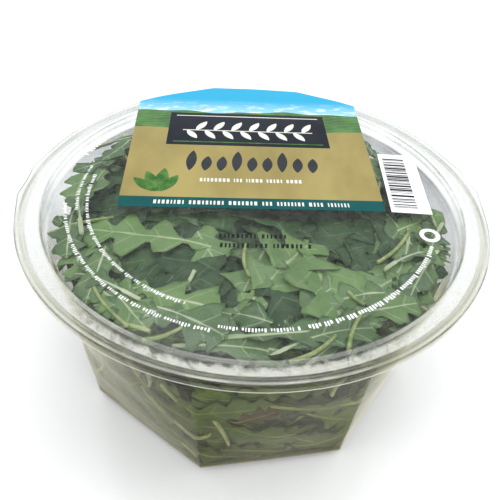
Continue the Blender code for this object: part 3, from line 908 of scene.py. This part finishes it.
def lay_on_top(name, leaves, depth, tone, rows, columns, draw, finish):
    """Leaves that lie on the heap under the film: the chart is the plan, and the height
    is the heap's top less each leaf's depth plus its lift, pressed flat where it passes
    the leaf's layer."""
    x, y, lift, thick, chart, pale = leaf_shapes(leaves, rows, columns, draw)
    limit = heap_radius(np.arctan2(y, x), RECESS_ENDS) + 0.7
    pull = np.minimum(1, limit / np.hypot(x, y)).min(axis=(1, 2), keepdims=True)
    x, y = x * pull, y * pull
    top = heap_top(x, y) - thick
    layer = depth[:, None, None]
    height = np.minimum(top + 1.6 + lift - layer, top + 0.2 - 0.8 * layer)
    height = np.minimum(height, FILM_UNDER - 0.25 - thick)
    on_ledge = climb(height - thick, 84.5, 85.2)
    allowed = inner_wall(np.arctan2(y, x), height) - 0.2 + 1.2 * on_ledge
    squeeze = np.minimum(1, allowed / np.hypot(x, y))
    x, y = x * squeeze, y * squeeze
    upper, lower = join(x, y, height + thick), join(x, y, height - thick)
    finish_leaves(name, upper, lower, chart, pale, tone, 0 * tone, finish)


def lay_on_wall(name, leaves, depth, tone, brown, rows, columns, draw, finish):
    """Leaves pressed against the wall: the chart is the distance round the wall and the
    height, and the lift goes outwards, pressed flat where it passes the leaf's layer."""
    leaves = leaves.copy()
    leaves[:, [0, 2]] = np.radians(leaves[:, [0, 2]]) * MEAN_WALL_RADIUS
    round_wall, height, lift, thick, chart, pale = leaf_shapes(leaves, rows, columns, draw)
    angle = round_wall / MEAN_WALL_RADIUS
    too_high = np.maximum(height.max(axis=(1, 2), keepdims=True) - HIGHEST_WALL_LEAF, 0)
    too_low = np.maximum(LOWEST_LEAF - height.min(axis=(1, 2), keepdims=True), 0)
    height = height - too_high + too_low
    height = np.clip(height, LOWEST_LEAF, HIGHEST_WALL_LEAF)
    reach = heap_radius(angle, height) - thick
    layer = depth[:, None, None]
    radius = np.minimum(reach + 2 + lift - layer, reach + 0.2 - 0.8 * layer)
    radius = np.minimum(radius, inner_wall(angle, height) - thick)
    outer, inner = polar(radius + thick, angle, height), polar(radius - thick, angle, height)
    finish_leaves(name, outer, inner, chart, pale, tone, brown, finish)


# Leaves that can be told apart under the film: (stem x, y, tip x, y, half width). The
# first ten lie one under the other in this order, and those from the 41st on fill the edge.
TOP_LEAVES = np.array((
    (21, -8, 34, -68, 16), (-9, -70, 23, -24, 17), (-2, -33, -68, -26, 13), (-56, -50, -9, -63, 12),
    (-16, -80, 50, -66, 9), (63, -14, 45, -52, 11), (8, -72, 34, -46, 9), (-20, -44, -34, -73, 9),
    (66, -34, 30, -60, 11), (11, -4, -2, -52, 12), (-60, -24, -22, -8, 12), (-74, -10, -44, -46, 10),
    (-28, -4, -12, -40, 11), (56, 10, 70, -34, 10), (38, -2, 62, -40, 10), (-66, 14, -30, 22, 11),
    (-40, 46, 2, 20, 12), (10, 58, -18, 16, 12), (60, 26, 22, 42, 12), (28, 12, 66, -4, 11),
    (30, 56, 24, 8, 12), (-52, -62, -22, -77, 8), (68, -44, 38, -72, 9), (-6, 4, 30, 14, 12),
    (-70, 28, -40, 52, 11), (-30, 30, -64, 44, 11), (-58, 2, -20, 6, 12), (12, 30, -26, 42, 12),
    (44, 44, 8, 68, 11), (-10, 70, -44, 60, 10), (66, 40, 40, 62, 10), (70, 6, 52, 36, 10),
    (4, -20, 46, -18, 13), (-46, -34, -6, -18, 12), (-72, -36, -48, -64, 9), (22, -76, -16, -60, 9),
    (54, -58, 62, -26, 9), (-30, -60, -66, -48, 10), (40, -40, 4, -62, 11), (-38, -18, -62, 16, 11),
    (-52, -60, -6, -78, 12), (4, -84, 46, -68, 8), (-20, -76, -56, -60, 10), (26, -66, 62, -54, 9),
    (-68, -46, -34, -72, 9), (74, -26, 58, -58, 8), (-78, -18, -60, -52, 8), (-24, -80, 18, -76, 8),
    (-60, 40, -30, 62, 10), (-74, 14, -52, 48, 10), (-48, 66, -22, 50, 10), (46, -24, 82, 2, 9),
    (60, -48, 82, -14, 9), (52, -6, 84, -26, 8), (-46, 50, -79, 26, 9), (-36, 68, -68, 50, 9),
    (-56, 24, -82, 20, 8), (58, 30, 50, 62, 8),
), dtype=float)

# Leaves behind the front walls: (stem degrees, height, tip degrees, height, half width).
# The first seven lie in front of the rest, and the last one is wilted.
WALL_LEAVES = np.array((
    (277, 57, 307, 41, 7), (246, 45, 279, 57, 10), (305, 22, 266, 36, 11), (256, 10, 242, 40, 9),
    (258, 74, 292, 68, 9), (298, 76, 318, 46, 9), (232, 70, 216, 36, 10), (276, 57, 250, 40, 13),
    (307, 38, 276, 52, 9), (270, 72, 298, 62, 10), (236, 66, 246, 24, 11), (262, 14, 294, 22, 11),
    (300, 68, 322, 34, 11), (226, 30, 206, 62, 11), (318, 14, 342, 40, 11), (246, 72, 214, 76, 11),
    (254, 12, 224, 20, 11), (300, 10, 326, 68, 11), (232, 44, 268, 36, 12), (296, 30, 262, 26, 10),
    (288, 78, 254, 72, 10), (312, 74, 340, 62, 11), (222, 10, 240, 46, 11), (284, 40, 310, 22, 11),
    (206, 24, 232, 60, 11), (330, 60, 304, 46, 11), (268, 30, 246, 56, 11), (264, 40, 280, 53, 8),
), dtype=float)
LEADING_WALL_LEAVES = 7

# Stems under the film: (x, y, x, y, radius, depth), and stems behind the wall:
# (degrees, height, degrees, height, radius, bow in degrees).
TOP_STEMS = np.array((
    (14, -82, 29, -72, 0.8, 0.4), (34, -80, 40, -64, 0.8, 0.3), (-35, -82, -22, -77, 0.8, 0.8),
    (-44, -72, -31, -75, 0.9, 0.9), (-2, -31, 0, -49, 0.8, 0.6), (63, -16, 47, -37, 0.9, 0.4),
    (35, -52, 40, -58, 0.8, 0.4), (-80, -30, -56, -20, 0.8, 0.6), (-58, -47, -38, -73, 0.7, 0.8),
    (-30, 34, 6, 40, 0.9, 0.8), (40, 20, 18, 52, 0.9, 0.8), (-64, 30, -50, 6, 0.9, 0.8),
))
WALL_STEMS = np.array((
    (263, 44, 267, 21, 0.95, 0.4), (241, 47, 257, 27, 0.9, -3.5), (256.5, 27.2, 262, 33, 0.8, 1.2),
    (245, 62, 244, 52, 0.8, 0.6), (249, 60, 253, 52, 0.8, -0.6), (309, 40, 298, 46, 0.9, 0.5),
    (296, 69, 294, 56, 1, -0.8), (262, 52, 278, 57, 0.8, -0.5), (252, 14, 257, 9, 0.9, 0.4),
    (214, 20, 222, 46, 0.9, 2.2), (330, 24, 318, 52, 0.9, -2.6), (20, 20, 34, 50, 0.9, 2.2),
    (70, 60, 92, 40, 0.9, -2.6), (130, 22, 118, 56, 0.9, 2.2), (170, 40, 190, 66, 0.9, -2.6),
    (352, 66, 334, 70, 0.9, 2.2),
))


def from_middle(first, second, step, rise, width):
    """Leaves from the places of their middles and the way from there to their tips."""
    return join(first - step, second - rise, first + step, second + rise, width)


def spread_wall_leaves(count, draw, first, last):
    """Leaves spread evenly round a stretch of the wall: steps of two fixed shares, one
    round the wall and one up it, with a drawn lean, length and width."""
    index = np.arange(count)
    angle = first + (last - first) * np.mod(0.5 + 0.7549 * index, 1)
    height = 10 + 68 * np.mod(0.5 + 0.5698 * index, 1)
    lean = draw.uniform(0, TURN, count)
    half_length = draw.uniform(22, 33, count)
    step = np.degrees(half_length * np.cos(lean) / MEAN_WALL_RADIUS)
    rise = np.clip(half_length * np.sin(lean), -26, 26)
    return from_middle(angle, height, step, rise, draw.uniform(8.5, 13, count))


def spread_foot_leaves(count, draw):
    """Leaves that lie along the foot of the wall, evenly spread round it."""
    middle = np.arange(count) * 360 / count + draw.uniform(-3, 3, count)
    low = draw.uniform(3, 9, count)
    high = draw.uniform(6, 24, count)
    way = np.where(draw.uniform(0, 1, count) < 0.5, 1, -1)
    width = draw.uniform(7, 11, count)
    half = np.degrees(draw.uniform(16, 26, count) / MEAN_WALL_RADIUS) * way
    return join(middle - half, low, middle + half, high, width)


def leaning_leaves(x, y, lean, lengths, widths, draw):
    """Leaves over the plan from their middles and lean, half length and width drawn."""
    half_length = draw.uniform(*lengths, len(x))
    width = draw.uniform(*widths, len(x))
    return from_middle(x, y, half_length * np.cos(lean), half_length * np.sin(lean), width)


def spread_edge_leaves(count, draw):
    """Leaves that lie along the edge of the heap's top, evenly spread round it."""
    angle = (np.arange(count) + draw.uniform(-0.3, 0.3, count)) * TURN / count
    lean = angle + draw.uniform(0.9, 2.2, count) * draw.choice([-1, 1], count)
    x, y = 76 * np.cos(angle), 76 * np.sin(angle)
    return leaning_leaves(x, y, lean, (17, 25), (5.5, 8.5), draw)


def spread_top_leaves(count, draw):
    """Leaves spread evenly over the plan of the heap, in a sunflower pattern: the radius
    is the square root of the index, and each turns on by the golden angle."""
    index = np.arange(count) + 0.5
    radius, angle = 70 * np.sqrt(index / count), GOLDEN_ANGLE * index
    lean = draw.uniform(0, TURN, count)
    x, y = radius * np.cos(angle), radius * np.sin(angle)
    return leaning_leaves(x, y, lean, (20, 32), (8, 13), draw)


def tubes(name, paths, sizes, finish):
    """Round closed tubes along many paths at once: point + radius (cos, sin) in the two
    directions square to the path, closed flat at both ends."""
    count, steps, _ = paths.shape
    ahead = np.gradient(paths, axis=1)
    ahead /= np.linalg.norm(ahead, axis=-1, keepdims=True)
    guide = np.where(np.abs(ahead[..., 2:]) > 0.8, [1, 0, 0], [0, 0, 1])
    side = np.cross(ahead, guide)
    side /= np.linalg.norm(side, axis=-1, keepdims=True)
    above = np.cross(side, ahead)
    turn = np.linspace(0, TURN, STEM_SIDES, endpoint=False)[:, None]
    taper = 1 - 0.25 * np.linspace(0, 1, steps)
    radius = sizes[:, None, None, None] * taper[:, None, None]
    ring = np.cos(turn) * side[:, :, None] + np.sin(turn) * above[:, :, None]
    grid = (paths[:, :, None] + radius * ring).reshape(count, -1, 3)
    points = np.concatenate([grid, paths[:, :1], paths[:, -1:]], axis=1)
    faces = [repeated(part, count, points.shape[1]) for part in capped_faces(steps, STEM_SIDES)]
    turn_out(add_piece(name, points, faces, finish, "rocket_leaves"))


def make_stems(finish, wall_finish):
    """Cut stems that lie among the leaves: round tubes, a circle carried along a bent
    path from one end to the other, thinner at the far end and closed at both."""
    share = np.concatenate([[0], np.linspace(0.002, 0.998, 12), [1]])
    bend = np.sin(math.pi * share)
    x, y, end_x, end_y, radius, depth = TOP_STEMS.T[:, :, None]
    run_x, run_y = end_x - x, end_y - y
    bow = np.where(np.arange(len(x)) % 2, 0.06, -0.08)[:, None] * bend
    x, y = x + run_x * share - run_y * bow, y + run_y * share + run_x * bow
    allowed = WALL_TOP_RADIUS - radius
    pull = np.minimum(1, allowed / np.hypot(x, y).max(axis=1, keepdims=True))
    x, y = x * pull, y * pull
    height = np.minimum(heap_top(x, y) - depth - radius + 1.2 * share, HEAP_TOP - radius)
    tubes("cut_stems", join(x, y, height), TOP_STEMS[:, 4], finish)
    angle, height, end_angle, end_height, radius, aside = WALL_STEMS.T[:, :, None]
    angle = np.radians(angle + (end_angle - angle) * share + aside * bend)
    height = height + (end_height - height) * share
    reach = np.minimum(inner_wall(angle, height), heap_radius(angle, height) + 1) - radius
    tubes("wall_stems", polar(reach, angle, height), WALL_STEMS[:, 4], wall_finish)


def make_leaves():
    """The whole heap: core, leaves under the film, leaves on the wall, filler, stems."""
    draw = np.random.default_rng(21)
    # Painted shade and veil in copies of one leaf colour: bluer under the film for the film's veil,
    # darker and warmer behind the wall, darker still deep in the heap.
    green = leaf_finish("rocket_leaf_green", (1.02, 1.01, 1.22), 0.45)
    wall_shaded_leaf = leaf_finish("rocket_leaf_wall_shaded", (0.88, 0.765, 0.42), 0.12)
    shaded = leaf_finish("rocket_leaf_shaded", (0.44, 0.52, 0.66), 0.2)
    deeper_wall_shaded = leaf_finish("rocket_leaf_deep_in_wall_shaded", (0.3, 0.26, 0.17), 0.12)
    stem = stem_finish("rocket_stem", (0.13, 0.2, 0.055), (0.33, 0.38, 0.155))
    pale_stem = stem_finish("rocket_stem_pale", (0.32, 0.36, 0.14), (0.56, 0.56, 0.28))
    make_core(core_finish())

    def drawn(low, high, count):
        return draw.uniform(low, high, count)

    count = len(TOP_LEAVES)
    index = np.arange(count)
    depth = np.where(index < 10, 0.2 + 0.35 * index, 2 + 0.12 * index)
    depth = np.where(index < 40, depth, 0.8 + 0.2 * (index - 40))
    tone = drawn(0.15, 0.95, count)
    tone[:5] = (0.85, 1, 1, 0.95, 0.15)
    lay_on_top("top_leaves", TOP_LEAVES, depth, tone, 34, 11, draw, green)
    count = 110
    deep, depth, tone = spread_top_leaves(count, draw), drawn(3.2, 7, count), drawn(0, 0.6, count)
    lay_on_top("deep_top_leaves", deep, depth, tone, 12, 5, draw, shaded)
    placed, more = len(WALL_LEAVES), 16
    groups = [WALL_LEAVES, spread_wall_leaves(more, draw, 200, 340)]
    leaves = np.concatenate(groups + [spread_wall_leaves(48, draw, -28, 208)])
    count = len(leaves)
    depth = drawn(0.9, 3, count)
    depth[:LEADING_WALL_LEAVES] = 0.1 + 0.12 * np.arange(LEADING_WALL_LEAVES)
    depth[placed:placed + more] += 1.2
    tone = drawn(0, 1, count)
    tone[:LEADING_WALL_LEAVES] = (1, 0.85, 0.6, 0.5, 0.75, 0.7, 0.65)
    brown = drawn(0, 0.16, count)
    depth[placed - 1], tone[placed - 1], brown[placed - 1] = 0, 0.5, 1
    lay_on_wall("wall_leaves", leaves, depth, tone, brown, 32, 11, draw, wall_shaded_leaf)
    count = 44
    foot = spread_foot_leaves(count, draw)
    depth, tone, brown = drawn(0.1, 1.4, count), drawn(0, 0.6, count), drawn(0.05, 0.2, count)
    lay_on_wall("foot_leaves", foot, depth, tone, brown, 22, 7, draw, wall_shaded_leaf)
    count = 120
    deep = spread_wall_leaves(count, draw, 0, 360)
    brown = np.where(drawn(0, 1, count) < 0.04, 1, 0.15)
    depth, tone = drawn(3.8, 6.5, count), drawn(0, 0.6, count)
    lay_on_wall("deep_wall_leaves", deep, depth, tone, brown, 12, 5, draw, deeper_wall_shaded)
    count = 40
    edge = spread_edge_leaves(count, draw)
    depth = drawn(-1.5, 1.5, count) + 4.5 * ridge(np.arange(count) * TURN / count, FRONT, 0.7)
    lay_on_top("edge_leaves", edge, depth, drawn(0, 0.75, count), 26, 9, draw, green)
    make_stems(stem, pale_stem)


# ---- stage, light, camera


def make_stage():
    """The pale floor, wide enough to fill the view."""
    share = np.linspace(-2.5, 2.5, 6)
    points = join(share[:, None], share[None, :], -0.0002).reshape(-1, 3)
    mesh = bpy.data.meshes.new("floor")
    mesh.from_pydata(points.tolist(), [], grid_quads(6, 6, False).tolist())
    mesh.materials.append(floor_finish())
    floor = bpy.data.objects.new("floor", mesh)
    bpy.context.scene.collection.objects.link(floor)


def add_softbox(name, place, aim, size, power):
    """A large soft lamp that looks at a point."""
    light = bpy.data.lights.new(name, "AREA")
    light.shape = "RECTANGLE"
    light.size, light.size_y = size
    light.energy = power
    lamp = bpy.data.objects.new(name, light)
    away = np.subtract(place, aim)
    tilt = math.acos(away[2] / np.linalg.norm(away))
    lamp.location = place
    lamp.rotation_euler = (tilt, 0, math.atan2(away[0], -away[1]))
    bpy.context.scene.collection.objects.link(lamp)


def make_light():
    """An even white surround with softboxes above and to the left, and two thin strips
    of light that draw highlights on the front and the right of the rim."""
    world = bpy.data.worlds.new("studio")
    bpy.context.scene.world = world
    world.use_nodes = True
    background = world.node_tree.nodes["Background"]
    background.inputs["Color"].default_value = (0.955, 0.975, 1, 1)
    background.inputs["Strength"].default_value = 0.88
    add_softbox("softbox_top", (0.1, 0.25, 1.3), (0, 0, 0.05), (1.2, 0.9), 7.5)
    add_softbox("softbox_left", (-1.1, -0.5, 0.8), (0, 0, 0.05), (0.7, 0.7), 3.5)
    add_softbox("strip_front", (0.35, -0.9, 0.75), (0, 0, 0.08), (1.1, 0.06), 2.4)
    add_softbox("strip_right", (1, 0.1, 0.7), (0, 0, 0.08), (0.06, 0.9), 1.6)


def make_camera():
    """The camera: in front of and above the bowl, tilted down by 42 degrees and rolled by
    3.5, as a turn round its right axis and then one round its own line of sight."""
    data = bpy.data.cameras.new("camera")
    data.sensor_width = 36
    data.lens = 38.318
    data.clip_start = 0.005
    camera = bpy.data.objects.new("camera", data)
    place = mathutils.Matrix.Translation((-0.0004, -0.1818, 0.2234))
    pitch = mathutils.Matrix.Rotation(math.radians(90 - 42.23), 4, "X")
    roll = mathutils.Matrix.Rotation(math.radians(3.53), 4, "Z")
    camera.matrix_world = place @ pitch @ roll
    bpy.context.scene.collection.objects.link(camera)
    bpy.context.scene.camera = camera


def main():
    scene = bpy.context.scene
    scene.view_settings.view_transform = "Standard"
    scene.cycles.transparent_max_bounces = 32
    make_camera()
    make_light()
    make_stage()
    # The wall and shoulder colours are painted shade: warm and dark on the lower wall, grey on the
    # upper wall and on the film over the rim.
    bowl_tints = {
        "plain": (0.966, 0.969, 0.964), "wall": (0.6, 0.59, 0.4),
        "shoulder": (0.6, 0.61, 0.625), "gloss": (1, 0.975, 0.85),
    }
    film_tints = {
        "plain": (0.985, 0.988, 0.985), "wall": (0.9, 0.9, 0.9),
        "shoulder": (0.955, 0.96, 0.957), "gloss": (1, 1, 1),
    }
    bowl_waves, film_waves = ((60, 0.9), (330, 0.05)), ((30, 0.8), (160, 0.08))
    make_bowl(clear_plastic("clear_bowl_plastic", bowl_tints, bowl_waves, 1.35, 0.005, 0.008, 0.42))
    make_film(clear_plastic("clear_film_plastic", film_tints, film_waves, 1.4, 0.012, 0.02, 0))
    make_label()
    make_small_print()
    make_leaves()


main()
